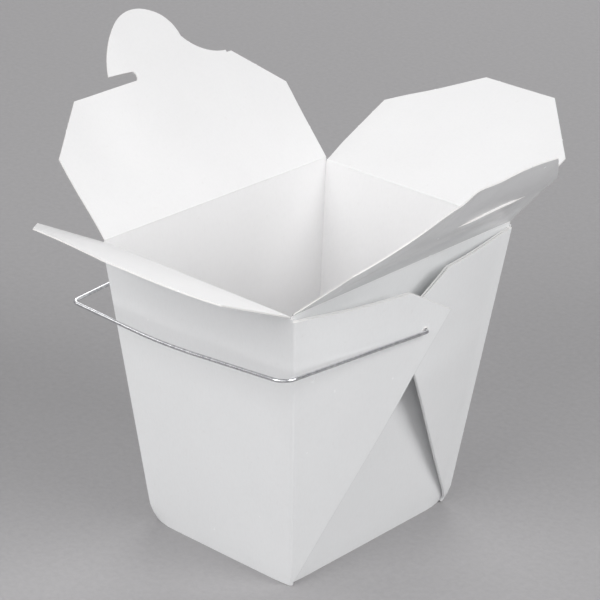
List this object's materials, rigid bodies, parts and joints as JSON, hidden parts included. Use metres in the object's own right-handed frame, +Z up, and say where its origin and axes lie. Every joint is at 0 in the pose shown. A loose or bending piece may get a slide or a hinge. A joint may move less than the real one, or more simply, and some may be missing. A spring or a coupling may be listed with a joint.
{
  "type": "takeout food pail",
  "caption": "Tapered folded paperboard food pail with gusseted end walls, hinged top flaps standing open, one with a locking tongue, and a swinging wire bail.",
  "frame": {"origin": "middle of the bottom face, where the pail stands", "axes": "+Z up; X runs across the two gusseted end walls that carry the bail, with the tongue flap towards -X; Y runs across the two plain side walls, with the bail's grip towards -Y"},
  "size_m": [0.1579, 0.2086, 0.1559],
  "materials": {
    "board": "satin",
    "wire": "satin"
  },
  "bodies": {
    "pail": {"pail_body": "board"},
    "front_leaf": {"front_flap": "board"},
    "back_leaf": {"back_flap": "board"},
    "tab_leaf": {"tab_flap": "board"},
    "slot_leaf": {"slot_flap": "board"},
    "bail": {"wire_bail": "wire"}
  },
  "joints": [
    {"name": "front_flap_crease", "type": "hinge", "parent": "pail", "child": "front_leaf", "pos_m": [0, -0.05273, 0.1015], "axis": [-1, 0, 0], "range_deg": [-26, 158]},
    {"name": "back_flap_crease", "type": "hinge", "parent": "pail", "child": "back_leaf", "pos_m": [0, 0.05273, 0.1015], "axis": [1, 0, 0], "range_deg": [-25, 155]},
    {"name": "tab_flap_crease", "type": "hinge", "parent": "pail", "child": "tab_leaf", "pos_m": [-0.04002, 0, 0.1024], "axis": [0, 1, 0], "range_deg": [-50, 117]},
    {"name": "slot_flap_crease", "type": "hinge", "parent": "pail", "child": "slot_leaf", "pos_m": [0.04002, 0, 0.1024], "axis": [0, -1, 0], "range_deg": [-47, 128]},
    {"name": "bail_swing", "type": "hinge", "parent": "pail", "child": "bail", "pos_m": [0, 0, 0.0834], "axis": [-1, 0, 0], "range_deg": [-42, 14]}
  ]
}
